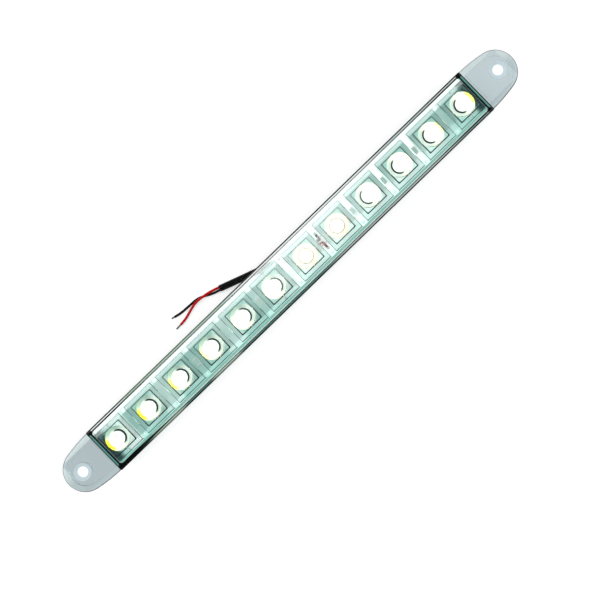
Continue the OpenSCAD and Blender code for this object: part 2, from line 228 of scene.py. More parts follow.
def makePlace():
    # Place on the lamp in mm, and place along the row and distance from the middle of the nearest LED
    names = ("X", "Y", "Z", "Along", "Led", "Distance")
    outputs = dict.fromkeys(names, "NodeSocketFloat")
    group, taken, given = newGroup("placeOnLamp", {"Pitch": row["pitch"]}, outputs)
    place = addNode(group, "ShaderNodeTexCoord")
    scaled = addNode(group, "ShaderNodeVectorMath", operation="SCALE")
    scaled.inputs["Scale"].default_value = 1000.0
    apart = addNode(group, "ShaderNodeSeparateXYZ")
    group.links.new(place.outputs["Object"], scaled.inputs[0])
    group.links.new(scaled.outputs[0], apart.inputs[0])
    x, y, z = apart.outputs
    half = times(group, taken.outputs["Pitch"], 0.5)
    minus = times(group, taken.outputs["Pitch"], -0.5)
    along = calc(group, "WRAP", plus(group, x, half), half, minus)
    square = calc(group, "MULTIPLY_ADD", along, along, times(group, y, y))
    results = (x, y, z, along, calc(group, "SUBTRACT", x, along), calc(group, "SQRT", square))
    for name, result in zip(names, results):
        group.links.new(result, given.inputs[name])
    return group


fineGrain = makeGrain()
placeOnLamp = makePlace()


def addBump(tree, shader, height, distance):
    bump = addNode(tree, "ShaderNodeBump")
    setInputs(bump, Distance=distance, Strength=1.0)
    tree.links.new(height, bump.inputs["Height"])
    tree.links.new(bump.outputs["Normal"], shader.inputs["Normal"])


def addGrain(tree, shader, scale, smooth, rough, bump=0.0):
    # The grain in the roughness, and in a bump of that many metres. Gives its height
    grain = useGroup(tree, fineGrain, Scale=scale, Smooth=smooth, Rough=rough)
    tree.links.new(grain.outputs["Roughness"], shader.inputs["Roughness"])
    if bump:
        addBump(tree, shader, grain.outputs["Height"], bump)
    return grain.outputs["Height"]


def steepness(tree):
    # How level a face is, 0 to 1, and the way that it looks across the lamp
    place = addNode(tree, "ShaderNodeNewGeometry")
    apart = addNode(tree, "ShaderNodeSeparateXYZ")
    tree.links.new(place.outputs["Normal"], apart.inputs[0])
    return sizeOf(tree, apart.outputs["Z"]), apart.outputs["Y"]


def paintedEdgeShade(tree, line):
    # Painted shade on small round edges, darker on the side away from the key lamp
    level, across = steepness(tree)
    rounded = between(tree, level, *line["level"], line["soft"])
    return times(tree, rounded, ramp(tree, across, -0.8, 0.8, line["dark"], line["light"]))


def letThrough(tree, colour, share):
    # A clear plastic passes the square root of its colour, so this passes the share itself
    return blend(tree, times(tree, share, share), (0.0, 0.0, 0.0), colour)


def paintGlow(tree, shader, colour, strength):
    # Painted light: makes a surface that is no lamp glow in the given colour and strength
    shader.inputs["Emission Strength"].default_value = 1.0
    tree.links.new(blend(tree, strength, (0.0, 0.0, 0.0), colour), shader.inputs["Emission Color"])


def clearPlastic(name, look, paint):
    # Polished or frosted clear plastic. Lamp light goes straight through it, dimmed to its shade
    material, tree, shader = newMaterial(name)
    setInputs(shader, Roughness=look["roughness"], IOR=1.5, Transmission_Weight=1.0)
    grain = useGroup(tree, fineGrain, Scale=look["waves"][0])
    addBump(tree, shader, grain.outputs["Height"], look["waves"][1])
    tree.links.new(paint(tree, shader, look), shader.inputs["Base Color"])
    light = addNode(tree, "ShaderNodeLightPath")
    through = addNode(tree, "ShaderNodeBsdfTransparent")
    setInputs(through, Color=(*look["shade"], 1))
    mix = addNode(tree, "ShaderNodeMixShader")
    output = tree.nodes["Material Output"]
    tree.links.new(light.outputs["Is Shadow Ray"], mix.inputs["Fac"])
    tree.links.new(shader.outputs["BSDF"], mix.inputs[1])
    tree.links.new(through.outputs["BSDF"], mix.inputs[2])
    tree.links.new(mix.outputs["Shader"], output.inputs["Surface"])
    if "absorb" in look:
        body = addNode(tree, "ShaderNodeVolumeAbsorption")
        setInputs(body, Color=(*look["absorb"][0], 1), Density=look["absorb"][1])
        tree.links.new(body.outputs["Volume"], output.inputs["Volume"])
    return material


def plainFinish(name, look):
    # Two close colours mixed by the grain, with its roughness and bump
    material, tree, shader = newMaterial(name)
    for socket, value in look.get("sockets", {}).items():
        shader.inputs[socket].default_value = value
    height = addGrain(tree, shader, look["scale"], *look["roughness"], look["bump"])
    tree.links.new(blend(tree, height, *look["colours"]), shader.inputs["Base Color"])
    return material


# Base: frosted tabs, the strips beside the board, the stakes' heads and the screw holes. Lengths in mm
baseLook = {
    "tint": (0.80, 0.87, 0.90),
    "roughness": 0.22,
    "shade": (0.95, 0.98, 0.98),
    "waves": (900.0, 0.00002),
    "line": {"level": (0.1, 0.72), "soft": 0.06, "dark": 0.9, "light": 0.55},
    "tabStart": 100.0,
    "tabRimPaintedShade": ((0.57, 0.67, 0.69), (0.76, 0.86, 0.87)),
    "tabFloorPaintedShade": ((0.54, 0.63, 0.66), (0.66, 0.76, 0.79)),
    "floorSide": (6.9, 7.5),
    "floorEnd": (116.4, 117.0),
    "hole": (0.43, 0.52, 0.56),
    "holeAt": 112.5,
    "holeReach": 3.5,
    "holeBottom": 0.05,
    "holeLine": 0.8,
    "stripSide": (7.35, 8.6),
    "stripEnd": (98.5, 99.0),
    "sideLit": (0.90, 0.98, 0.96),
    "sideDim": (0.36, 0.72, 0.63),
    "glow": 0.25,
    "dimGlow": 0.06,
    "headBottom": 4.9,
    "headGlow": 0.6,
}


def paintBase(tree, shader, look):
    # Painted shade and light: greyer inside the tabs' rims, and the strip beside the board painted lit on
    # one side and shaded on the other
    place = useGroup(tree, placeOnLamp)
    x, y, z = (place.outputs[name] for name in "XYZ")
    length = sizeOf(tree, x)
    width = sizeOf(tree, y)
    onTab = calc(tree, "GREATER_THAN", length, look["tabStart"])
    onFloor = ramp(tree, width, *look["floorSide"], 1.0, 0.0)
    onFloor = times(tree, onFloor, ramp(tree, length, *look["floorEnd"], 1.0, 0.0))
    beside = ramp(tree, length, *look["stripEnd"], 1.0, 0.0)
    beside = times(tree, beside, between(tree, width, *look["stripSide"], 0.1))
    fromHole = calc(tree, "SUBTRACT", length, look["holeAt"])
    square = calc(tree, "MULTIPLY_ADD", fromHole, fromHole, times(tree, y, y))
    hole = calc(tree, "LESS_THAN", calc(tree, "SQRT", square), look["holeReach"])
    hole = times(tree, hole, calc(tree, "GREATER_THAN", z, look["holeBottom"]))

    # Colours: painted light and shade. The tabs' rims are darker below and lighter above, their floors
    # darker, most of all on the left tab
    rim = blend(tree, ramp(tree, y, -2.0, 4.0), *look["tabRimPaintedShade"])
    floor = blend(tree, calc(tree, "GREATER_THAN", x, 0.0), *look["tabFloorPaintedShade"])
    sides = blend(tree, ramp(tree, y, -1.0, 1.0), look["sideDim"], look["sideLit"])
    tint = blend(tree, onTab, look["tint"], blend(tree, onFloor, rim, floor))
    tint = blend(tree, beside, tint, sides)

    # Painted light: the strips, the stakes' heads and the screw holes glow, though they are no lamps
    strength = times(tree, beside, ramp(tree, y, -1.0, 1.0, look["dimGlow"], look["glow"]))
    heads = times(tree, calc(tree, "GREATER_THAN", z, look["headBottom"]), look["headGlow"])
    strength = larger(tree, larger(tree, strength, heads), hole)
    paintGlow(tree, shader, blend(tree, hole, sides, look["hole"]), strength)
    # Painted shade: dark lines on the tabs' round edges, and the screw holes darkened
    outline = times(tree, paintedEdgeShade(tree, look["line"]), onTab)
    outline = larger(tree, outline, times(tree, hole, look["holeLine"]))
    return letThrough(tree, tint, oneMinus(tree, outline))


# Cover: painted light and shade, a green or pale channel along its wall between two painted dark lines.
# Lengths in mm
coverLook = {
    "tint": (0.98, 0.995, 0.99),
    "roughness": 0.0,
    "shade": (0.97, 0.99, 0.985),
    "waves": (40.0, 0.000001),
    "absorb": ((0.35, 0.62, 0.50), 60.0),
    "halfLength": 100.0,
    "halfWidth": 10.0,
    "topFace": 9.6,
    "channelAt": (0.5, 1.1),
    "channel": (0.82, 1.0, 0.92),
    "channelDim": 0.85,
    "endChannel": (0.05, 0.26, 0.22),
    "green": (0.42, 0.56, 0.44),
    "greenAbove": (-76.0, -30.0, 12.0),
    "greenBelow": ((-80.0, -68.0, 6.0), (-47.0, -38.0, 5.0)),
    "pale": (0.90, 0.94, 0.92),
    "paleAbove": (45.0, 62.0, 1.0, 0.65),
    "paleRight": ((8.0, 25.0, 0.0, 0.45), (72.0, 90.0, 1.0, 0.25)),
    "dim": (0.03, 0.13, 0.105),
    "corner": (2.4, 1.9),
    "shadeLineAt": 1.25,
    "shadeLineHalf": 0.13,
    "shadeLineAtEnds": (55.0, 92.0, 0.0, 0.1),
    "shadeLineStrength": (55.0, 92.0, 0.8, 1.0),
    "shadeLineLowLeft": ((-92.0, -70.0, 0.4, 0.0), (-7.8, -7.4, 1.0, 0.0)),
    "glow": 0.8,
    "line": ((0.002, 0.006, 0.006), (0.10, 0.15, 0.12)),
}


def paintedGreenPatches(tree, x, y):
    # Painted light: where the wall is painted green rather than dark or pale, on each side of the lamp
    upper = ramp(tree, y, -1.0, 1.0)
    above = times(tree, between(tree, x, *coverLook["greenAbove"]), upper)
    left, right = (between(tree, x, *place) for place in coverLook["greenBelow"])
    return plus(tree, above, times(tree, plus(tree, left, right), oneMinus(tree, upper)))


def paintCover(tree, shader, look):
    # Painted light and shade: pale above and on the right, dark on the left below; the corners are dark too
    place = useGroup(tree, placeOnLamp)
    x, y, z = (place.outputs[name] for name in "XYZ")
    fromMiddle = sizeOf(tree, x)
    length = calc(tree, "SUBTRACT", look["halfLength"], fromMiddle)
    width = calc(tree, "SUBTRACT", look["halfWidth"], sizeOf(tree, y))
    inset = calc(tree, "MINIMUM", times(tree, length, 0.8), width)
    far = calc(tree, "LESS_THAN", length, look["corner"][0])
    upper = ramp(tree, y, -1.0, 1.0)
    onTop = calc(tree, "GREATER_THAN", z, look["topFace"])
    channel = times(tree, onTop, between(tree, inset, *look["channelAt"], 0.1))

    # Colour of the channel, painted light that also glows
    rise, fall = (ramp(tree, x, *place) for place in look["paleRight"])
    pale = times(tree, upper, ramp(tree, x, *look["paleAbove"]))
    pale = larger(tree, pale, times(tree, rise, fall))
    colour = blend(tree, pale, look["dim"], look["pale"])
    colour = blend(tree, paintedGreenPatches(tree, x, y), colour, look["green"])
    colour = blend(tree, far, colour, look["endChannel"])

    # The painted dark inner line, standing in for shade, wider at both ends and most of all on the left
    # below, and dark corners
    atX, atY = look["shadeLineLowLeft"]
    wider = times(tree, ramp(tree, x, *atX), ramp(tree, y, *atY))
    wider = plus(tree, wider, ramp(tree, fromMiddle, *look["shadeLineAtEnds"]))
    fromShadeLine = sizeOf(tree, calc(tree, "SUBTRACT", inset, look["shadeLineAt"]))
    fromShadeLine = calc(tree, "SUBTRACT", fromShadeLine, wider)
    shadeLine = ramp(tree, fromShadeLine, look["shadeLineHalf"], look["shadeLineHalf"] + 0.1, 1.0, 0.0)
    shadeLine = times(tree, shadeLine, ramp(tree, fromMiddle, *look["shadeLineStrength"]))
    corner = times(tree, far, calc(tree, "LESS_THAN", width, look["corner"][1]))
    dark = times(tree, onTop, larger(tree, shadeLine, corner))
    clear = oneMinus(tree, dark)
    lit = times(tree, channel, clear)
    paintGlow(tree, shader, colour, times(tree, lit, look["glow"]))
    share = times(tree, clear, calc(tree, "MULTIPLY_ADD", channel, -look["channelDim"], 1.0))
    return letThrough(tree, blend(tree, channel, look["tint"], look["channel"]), share)


def makeCoverEdgeShade(colours):
    # Painted shade: the outer round edge of the cover, which sends its light aside, painted dark
    material, tree, shader = newMaterial("coverEdgeShade")
    setInputs(shader, Specular_IOR_Level=0.1)
    place = useGroup(tree, placeOnLamp)
    addGrain(tree, shader, 3000.0, 0.2, 0.35)
    light = paintedGreenPatches(tree, place.outputs["X"], place.outputs["Y"])
    tree.links.new(blend(tree, light, *colours), shader.inputs["Base Color"])
    return material


# Lens strip: painted shade, thin dark lines along the upper edges of the cells
lensLook = {
    "tint": (0.97, 0.995, 0.985),
    "roughness": 0.0,
    "shade": (0.96, 0.99, 0.98),
    "waves": (300.0, 0.000001),
    "absorb": ((0.45, 0.75, 0.68), 25.0),
    "line": {"level": (0.12, 0.94), "soft": 0.05, "dark": 1.0, "light": 0.35},
}


def paintLens(tree, shader, look):
    return letThrough(tree, look["tint"], oneMinus(tree, paintedEdgeShade(tree, look["line"])))


# Bowl of each lens, all painted light and shade: a glowing ring, with dark arcs and a yellow crescent that
# grow stronger away from the middle, in mm
bowlLook = {
    "middle": 16.8,
    "reach": 25.0,
    "tilt": (0.4, 0.95),
    "glow": 0.8,
    "bulgeGlow": 0.25,
    "ring": (0.97, 0.94, 0.82),
    "ringFar": (0.80, 0.84, 0.76),
    "ringFarFrom": (1.5, 4.0),
    "yellow": (1.0, 0.84, 0.03),
    "yellowFrom": (1.2, 3.8),
    "yellowSide": (0.74, 0.92),
    "yellowAt": (3.7, 4.1),
    "nearSide": (0.86, 0.93, 0.84),
    "topSide": (0.24, 0.40, 0.34),
    "topFrom": (-1.4, -0.3, 0.8, 0.0),
    "topDown": (-1.0, -0.3, 1.0, 0.0),
    "rim": (0.40, 0.36, 0.25),
    "rimFrom": (0.3, 1.2, 0.75, 0.0),
    "rimAt": (4.62, 4.8),
    "well": (0.93, 0.93, 0.86),
    "tan": (0.30, 0.22, 0.09),
    "tanAt": (2.74, 3.06),
    "arc": (0.002, 0.02, 0.028),
    "innerArcSide": (-0.1, 0.45),
    "innerArcAt": (2.8, 3.36),
    "outerArcSide": (0.55, 0.9, 0.0, 0.8),
    "outerArcAt": (4.55, 4.74),
    "bulge": (1.0, 0.99, 0.95),
    "bulgeReach": 2.7,
    "footReach": 3.46,
}


def makePaintedLensGlow(look):
    # Painted light and shade: the ring glows, yellow on the side away from the middle, with dark arcs on
    # the near side
    material, tree, shader = newMaterial("paintedLensGlow")
    setInputs(shader, Roughness=0.4, Specular_IOR_Level=0.2)
    place = useGroup(tree, placeOnLamp)
    r = place.outputs["Distance"]
    away = calc(tree, "DIVIDE", calc(tree, "SUBTRACT", place.outputs["Led"], look["middle"]), look["reach"])
    lean = calc(tree, "MINIMUM", larger(tree, away, -1.0), 1.0)
    reach = sizeOf(tree, away)
    tilt = ramp(tree, reach, *look["tilt"])
    outward = calc(tree, "DIVIDE", times(tree, place.outputs["Along"], lean), r)
    inward = times(tree, outward, -1.0)
    down = calc(tree, "DIVIDE", place.outputs["Y"], times(tree, r, -1.0))

    # The bowl itself: painted light and shade, with a yellow crescent, a dark arc and a tan rim
    colour = blend(tree, ramp(tree, reach, *look["ringFarFrom"]), look["ring"], look["ringFar"])
    nearSide = times(tree, tilt, ramp(tree, inward, 0.0, 0.8))
    colour = blend(tree, nearSide, colour, look["nearSide"])
    topSide = times(tree, ramp(tree, away, *look["topFrom"]), ramp(tree, down, *look["topDown"]))
    colour = blend(tree, topSide, colour, look["topSide"])
    crescent = times(tree, ramp(tree, outward, *look["yellowSide"]), ramp(tree, r, *look["yellowAt"]))
    crescent = times(tree, crescent, ramp(tree, reach, *look["yellowFrom"]))
    colour = blend(tree, crescent, colour, look["yellow"])
    near = ramp(tree, calc(tree, "MULTIPLY_ADD", inward, 0.25, down), *look["outerArcSide"])
    outerArc = times(tree, between(tree, r, *look["outerArcAt"], 0.06), near)
    colour = blend(tree, times(tree, outerArc, tilt), colour, look["arc"])
    rim = times(tree, between(tree, r, *look["rimAt"], 0.06), ramp(tree, reach, *look["rimFrom"]))
    colour = blend(tree, rim, colour, look["rim"])

    # The foot under it, the well's wall and the bulge, painted too: a tan ring, a dark inner arc and a
    # bulge that glows brighter
    foot = calc(tree, "LESS_THAN", r, look["footReach"])
    bulge = calc(tree, "LESS_THAN", r, look["bulgeReach"])
    under = blend(tree, between(tree, r, *look["tanAt"], 0.04), look["well"], look["tan"])
    under = blend(tree, tilt, under, look["well"])
    innerArc = times(tree, between(tree, r, *look["innerArcAt"], 0.05), tilt)
    innerArc = times(tree, innerArc, ramp(tree, inward, *look["innerArcSide"]))
    under = blend(tree, innerArc, under, look["arc"])
    under = blend(tree, bulge, under, look["bulge"])
    colour = blend(tree, foot, colour, under)
    tree.links.new(colour, shader.inputs["Base Color"])
    glow = calc(tree, "MULTIPLY_ADD", foot, -0.1, look["glow"])
    paintGlow(tree, shader, colour, calc(tree, "MULTIPLY_ADD", bulge, look["bulgeGlow"], glow))
    return material


# Round upper edge of each pocket, painted shade: its colours below and above the row, reached at these
# places in mm
pocketLook = {"colours": ((0.004, 0.03, 0.03), (0.30, 0.50, 0.45)), "reach": (-5.3, 5.3)}


def makePocketEdgeShade(look):
    material, tree, shader = newMaterial("pocketEdgeShade")
    setInputs(shader, Specular_IOR_Level=0.1)
    addGrain(tree, shader, 3000.0, 0.3, 0.5)
    place = useGroup(tree, placeOnLamp)
    across = ramp(tree, place.outputs["Y"], *look["reach"])
    tree.links.new(blend(tree, across, *look["colours"]), shader.inputs["Base Color"])
    return material


# Board: teal solder mask with painted light and shade, painted whiter and glowing where the LEDs light it,
# whiter right of the middle, dark at both ends. Lengths in mm
boardLook = {
    "mask": ((0.42, 0.70, 0.65), (0.50, 0.78, 0.73)),
    "endPaintedShade": (0.012, 0.08, 0.09),
    "ends": (94.0, 97.0),
    "endDim": 0.5,
    "washed": (0.90, 0.96, 0.95),
    "glow": 0.42,
    "washGlow": 0.35,
    "patchReach": 3.6,
    "patchGlow": 0.4,
    "stretch": (0.0, 68.0, 22.0),
    "inPocket": (-3.5, 3.5, 0.6, 0.1),
    "below": (-8.0, 4.0, 0.85, 1.0),
    "above": (5.2, 6.0, 0.0, 0.6),
    "palerGaps": ((-71.0, -63.5, 1.5, 0.4), (-37.5, -30.0, 1.5, 0.4), (-91.5, -86.6, 0.8, 0.72)),
    "gapFrom": (6.4, 7.4),
    "farGaps": (46.0, 72.0, 4.0),
    "farGlow": 0.3,
    "strips": ((5.2, 5.6, 0.0, 0.25), (-5.6, -5.2, 0.46, 0.0)),
    "lowStrip": (-5.2, -3.2, 0.3),
    "lowFrom": (-2.0, 2.0, 0.0, 0.28),
    "lowStronger": (20.0, 44.0, 2.6, 1.0),
}


def makeBoardMask(look):
    material, tree, shader = newMaterial("boardMask")
    place = useGroup(tree, placeOnLamp)
    addGrain(tree, shader, 5000.0, 0.25, 0.4, 0.000005)
    cloud = useGroup(tree, fineGrain, Scale=140.0)
    x, y = (place.outputs[name] for name in "XY")
    # Painted shade: the mask turns dark at both ends
    ends = ramp(tree, sizeOf(tree, x), *look["ends"])
    mask = blend(tree, cloud.outputs["Height"], *look["mask"])
    mask = blend(tree, ends, mask, look["endPaintedShade"])

    # Painted light: where the mask is painted paler, as if washed out by light: round the LEDs, and between
    # the cells on the right
    patch = between(tree, place.outputs["Distance"], -1.0, look["patchReach"], 0.15)
    stretch = between(tree, x, *look["stretch"])
    inPocket = ramp(tree, y, *look["inPocket"])
    inGap = ramp(tree, sizeOf(tree, place.outputs["Along"]), *look["gapFrom"])
    wash = times(tree, stretch, larger(tree, inPocket, inGap))
    wash = times(tree, wash, ramp(tree, y, *look["below"]))
    wash = larger(tree, larger(tree, wash, ramp(tree, y, *look["above"])), patch)
    for start, end, soft, share in look["palerGaps"]:
        wash = larger(tree, wash, times(tree, between(tree, x, start, end, soft), share))
    colour = blend(tree, wash, mask, look["washed"])
    tree.links.new(colour, shader.inputs["Base Color"])

    # Painted light: how strongly each place glows, standing in for the light it sends back
    glow = calc(tree, "MULTIPLY_ADD", wash, look["washGlow"], look["glow"])
    glow = calc(tree, "MULTIPLY_ADD", patch, look["patchGlow"], glow)
    for edge in look["strips"]:
        glow = plus(tree, glow, ramp(tree, y, *edge))
    farGap = times(tree, between(tree, x, *look["farGaps"]), look["farGlow"])
    glow = calc(tree, "MULTIPLY_ADD", inGap, farGap, glow)
    low = times(tree, between(tree, y, *look["lowStrip"]), ramp(tree, x, *look["lowFrom"]))
    glow = calc(tree, "MULTIPLY_ADD", low, ramp(tree, x, *look["lowStronger"]), glow)
    glow = times(tree, glow, ramp(tree, ends, 0.0, 1.0, 1.0, look["endDim"]))
    paintGlow(tree, shader, colour, glow)
    return material


# Chips between the cells: pale ceramic in the middle, tinned caps from capStart mm on, all with a painted
# glow
chipLook = {"ceramic": (0.62, 0.82, 0.77), "cap": (0.84, 0.86, 0.84), "capStart": 1.02, "glow": 0.35}


def makeChipFinish(look):
    material, tree, shader = newMaterial("chipAndCaps")
    place = useGroup(tree, placeOnLamp)
    addGrain(tree, shader, 9000.0, 0.3, 0.55, 0.00001)
    cap = calc(tree, "GREATER_THAN", sizeOf(tree, place.outputs["Y"]), look["capStart"])
    colour = blend(tree, cap, look["ceramic"], look["cap"])
    tree.links.new(colour, shader.inputs["Base Color"])
    # Painted light: the chips glow in their own colour
    tree.links.new(colour, shader.inputs["Emission Color"])
    shader.inputs["Emission Strength"].default_value = look["glow"]
    return material


# Phosphor: its own colour, and how it glows where it is seen straight on and more and more aslant
phosphorLook = {
    "silicone": (0.95, 0.80, 0.20),
    "straight": (3.0, 2.9, 2.6),
    "aslant": (
        (0.0, 0.35, (3.0, 2.9, 2.5)),
        (0.35, 0.55, (1.3, 1.12, 0.62)),
        (0.55, 0.8, (1.0, 0.80, 0.05)),
    ),
}


def makePhosphor(look):
    material, tree, shader = newMaterial("phosphorGlow")
    setInputs(shader, Base_Color=(*look["silicone"], 1), Emission_Strength=1.0)
    facing = addNode(tree, "ShaderNodeLayerWeight")
    setInputs(facing, Blend=0.5)
    colour = look["straight"]
    for start, end, following in look["aslant"]:
        colour = blend(tree, ramp(tree, facing.outputs["Facing"], start, end), colour, following)
    tree.links.new(colour, shader.inputs["Emission Color"])
    addGrain(tree, shader, 8000.0, 0.3, 0.5)
    return material


# Finishes with two close colours, and what each sets on its shader
plainLooks = {
    "tinned": {
        "colours": ((0.62, 0.62, 0.60), (0.80, 0.80, 0.78)), "roughness": (0.18, 0.35),
        "scale": 6000.0, "bump": 0.00002, "sockets": {"Metallic": 1.0},
    },
    "strands": {
        "colours": ((0.05, 0.05, 0.05), (0.12, 0.12, 0.11)), "roughness": (0.35, 0.5),
        "scale": 6000.0, "bump": 0.00002, "sockets": {"Metallic": 1.0},
    },
    # LED packages: white bodies with a painted warm glow
    "ledBody": {
        "colours": ((0.86, 0.86, 0.83), (0.93, 0.93, 0.90)), "roughness": (0.35, 0.5),
        "scale": 8000.0, "bump": 0.00001,
        "sockets": {"Emission Color": (1.0, 0.96, 0.84, 1), "Emission Strength": 1.6},
    },
    # Grommet: black rubber with a painted pale glow
    "grommetRubber": {
        "colours": ((0.012, 0.012, 0.013), (0.03, 0.03, 0.03)), "roughness": (0.5, 0.7),
        "scale": 4000.0, "bump": 0.00003,
        "sockets": {"Emission Color": (0.9, 1.0, 0.96, 1), "Emission Strength": 0.45},
    },
    "sleeveBlack": {
        "colours": ((0.001, 0.001, 0.002), (0.003, 0.003, 0.004)), "roughness": (0.14, 0.24),
        "scale": 1500.0, "bump": 0.00001, "sockets": {"Specular IOR Level": 0.12},
    },
    "redPvc": {
        "colours": ((0.52, 0.0, 0.0), (0.62, 0.0, 0.001)), "roughness": (0.2, 0.32),
        "scale": 3000.0, "bump": 0.00001, "sockets": {"Specular IOR Level": 0.12},
    },
    "blackPvc": {
        "colours": ((0.002, 0.002, 0.003), (0.005, 0.005, 0.006)), "roughness": (0.15, 0.28),
        "scale": 3000.0, "bump": 0.00001, "sockets": {"Specular IOR Level": 0.12},
    },
}
plain = {name: plainFinish(name, look) for name, look in plainLooks.items()}
clearBase = clearPlastic("clearBase", baseLook, paintBase)
clearCover = clearPlastic("clearCover", coverLook, paintCover)
clearLens = clearPlastic("clearLens", lensLook, paintLens)
paintedLensGlow = makePaintedLensGlow(bowlLook)
pocketEdgeShade = makePocketEdgeShade(pocketLook)
coverEdgeShade = makeCoverEdgeShade(coverLook["line"])
boardMask = makeBoardMask(boardLook)
phosphorGlow = makePhosphor(phosphorLook)
chipAndCaps = makeChipFinish(chipLook)
print("materials made")


# Small tools for meshes: shapes are drawn in mm, and finished in metres
sharpFrom = math.radians(40)


def finishMesh(name, bm, material):
    mesh = bpy.data.meshes.new(name)
    bm.to_mesh(mesh)
    bm.free()
    mesh.transform(Matrix.Scale(mm, 4))
    return dressMesh(name, mesh, material)


def dressMesh(name, mesh, material):
    mesh.materials.clear()
    mesh.materials.append(material)
    for face in mesh.polygons:
        face.use_smooth = True
    mesh.set_sharp_from_angle(angle=sharpFrom)
    piece = bpy.data.objects.new(name, mesh)
    scene.collection.objects.link(piece)
    return piece


def weighNormals(piece):
    # Flat faces keep a flat shade next to their rounded edges
    weigh = piece.modifiers.new("weigh", "WEIGHTED_NORMAL")
    weigh.keep_sharp = True
    weigh.weight = 100


def applyAll(piece):
    # Turns a piece and its modifiers into a plain mesh
    result = bpy.data.meshes.new_from_object(piece.evaluated_get(bpy.context.evaluated_depsgraph_get()))
    piece.modifiers.clear()
    piece.data = result
    return piece


def cutCorners(x0, x1, y0, y1, radius, steps):
    # A rectangle with round corners, as points in turn from the lower right corner
    corners = [(x1 - radius, y0 + radius, -90), (x1 - radius, y1 - radius, 0),
               (x0 + radius, y1 - radius, 90), (x0 + radius, y0 + radius, 180)]
    points = []
    for x, y, start in corners:
        for k in range(steps + 1):
            angle = math.radians(start + 90 * k / steps)
            points.append((x + radius * math.cos(angle), y + radius * math.sin(angle)))
    return points


def spreadSides(points, extra):
    # Adds points along each straight side, which lies after every corner
    perCorner = len(points) // 4
    result = []
    for k, point in enumerate(points):
        result.append(point)
        if k % perCorner == perCorner - 1:
            after = points[(k + 1) % len(points)]
            for j in range(1, extra + 1):
                share = j / (extra + 1)
                result.append(tuple(a + (b - a) * share for a, b in zip(point, after)))
    return result


def addRing(bm, outline, z):
    return [bm.verts.new((x, y, z)) for x, y in outline]


def joinRings(bm, rings):
    for low, high in zip(rings, rings[1:]):
        count = len(low)
        for k in range(count):
            after = (k + 1) % count
            bm.faces.new((low[k], low[after], high[after], high[k]))


def closeRing(bm, ring, z):
    # A pole that closes a round ring
    middle = sum((v.co for v in ring), Vector()) / len(ring)
    pole = bm.verts.new((middle.x, middle.y, z))
    for k in range(len(ring)):
        bm.faces.new((ring[k], ring[(k + 1) % len(ring)], pole))


def roundRow(size, edge, steps):
    # Insets and heights of a quarter-round edge of that radius at the top of a wall
    angles = [math.radians(90 * k / steps) for k in range(steps + 1)]
    return [(edge * (1 - math.cos(a)), size - edge + edge * math.sin(a)) for a in angles]


# A tree that sets copies of one shape in a row, centred on the lamp
def makeRowTree():
    tree = bpy.data.node_groups.new("copiesInRow", "GeometryNodeTree")
    sockets = {}
    for label, kind in (("Geometry", "NodeSocketGeometry"), ("Count", "NodeSocketInt"),
                        ("Pitch", "NodeSocketFloat"), ("Finish", "NodeSocketMaterial")):
        sockets[label] = tree.interface.new_socket(name=label, in_out="INPUT", socket_type=kind).identifier
    tree.interface.new_socket(name="Geometry", in_out="OUTPUT", socket_type="NodeSocketGeometry")
    taken = tree.nodes.new("NodeGroupInput")
    given = tree.nodes.new("NodeGroupOutput")
    line = tree.nodes.new("GeometryNodeMeshLine")
    step = tree.nodes.new("ShaderNodeCombineXYZ")
    span = times(tree, calc(tree, "SUBTRACT", taken.outputs["Count"], 1.0), taken.outputs["Pitch"])
    start = tree.nodes.new("ShaderNodeCombineXYZ")
    copies = tree.nodes.new("GeometryNodeInstanceOnPoints")
    real = tree.nodes.new("GeometryNodeRealizeInstances")
    dress = tree.nodes.new("GeometryNodeSetMaterial")
    link = tree.links.new
    link(taken.outputs["Count"], line.inputs["Count"])
    link(taken.outputs["Pitch"], step.inputs["X"])
    link(step.outputs[0], line.inputs["Offset"])
    link(times(tree, span, -0.5), start.inputs["X"])
    link(start.outputs[0], line.inputs["Start Location"])
    link(line.outputs["Mesh"], copies.inputs["Points"])
    link(taken.outputs["Geometry"], copies.inputs["Instance"])
    link(copies.outputs["Instances"], real.inputs["Geometry"])
    link(real.outputs["Geometry"], dress.inputs["Geometry"])
    link(taken.outputs["Finish"], dress.inputs["Material"])
    link(dress.outputs["Geometry"], given.inputs["Geometry"])
    return tree, sockets


copiesInRow, rowSockets = makeRowTree()


def setInRow(piece, count, pitch, material):
    copies = piece.modifiers.new("copies", "NODES")
    copies.node_group = copiesInRow
    copies[rowSockets["Count"]] = count
    copies[rowSockets["Pitch"]] = pitch * mm
    copies[rowSockets["Finish"]] = material
    return applyAll(piece)


def joinPieces(name, pieces):
    bm = bmesh.new()
    for piece in pieces:
        bm.from_mesh(piece.data)
        bpy.data.objects.remove(piece)
    mesh = bpy.data.meshes.new(name)
    bm.to_mesh(mesh)
    bm.free()
    return mesh


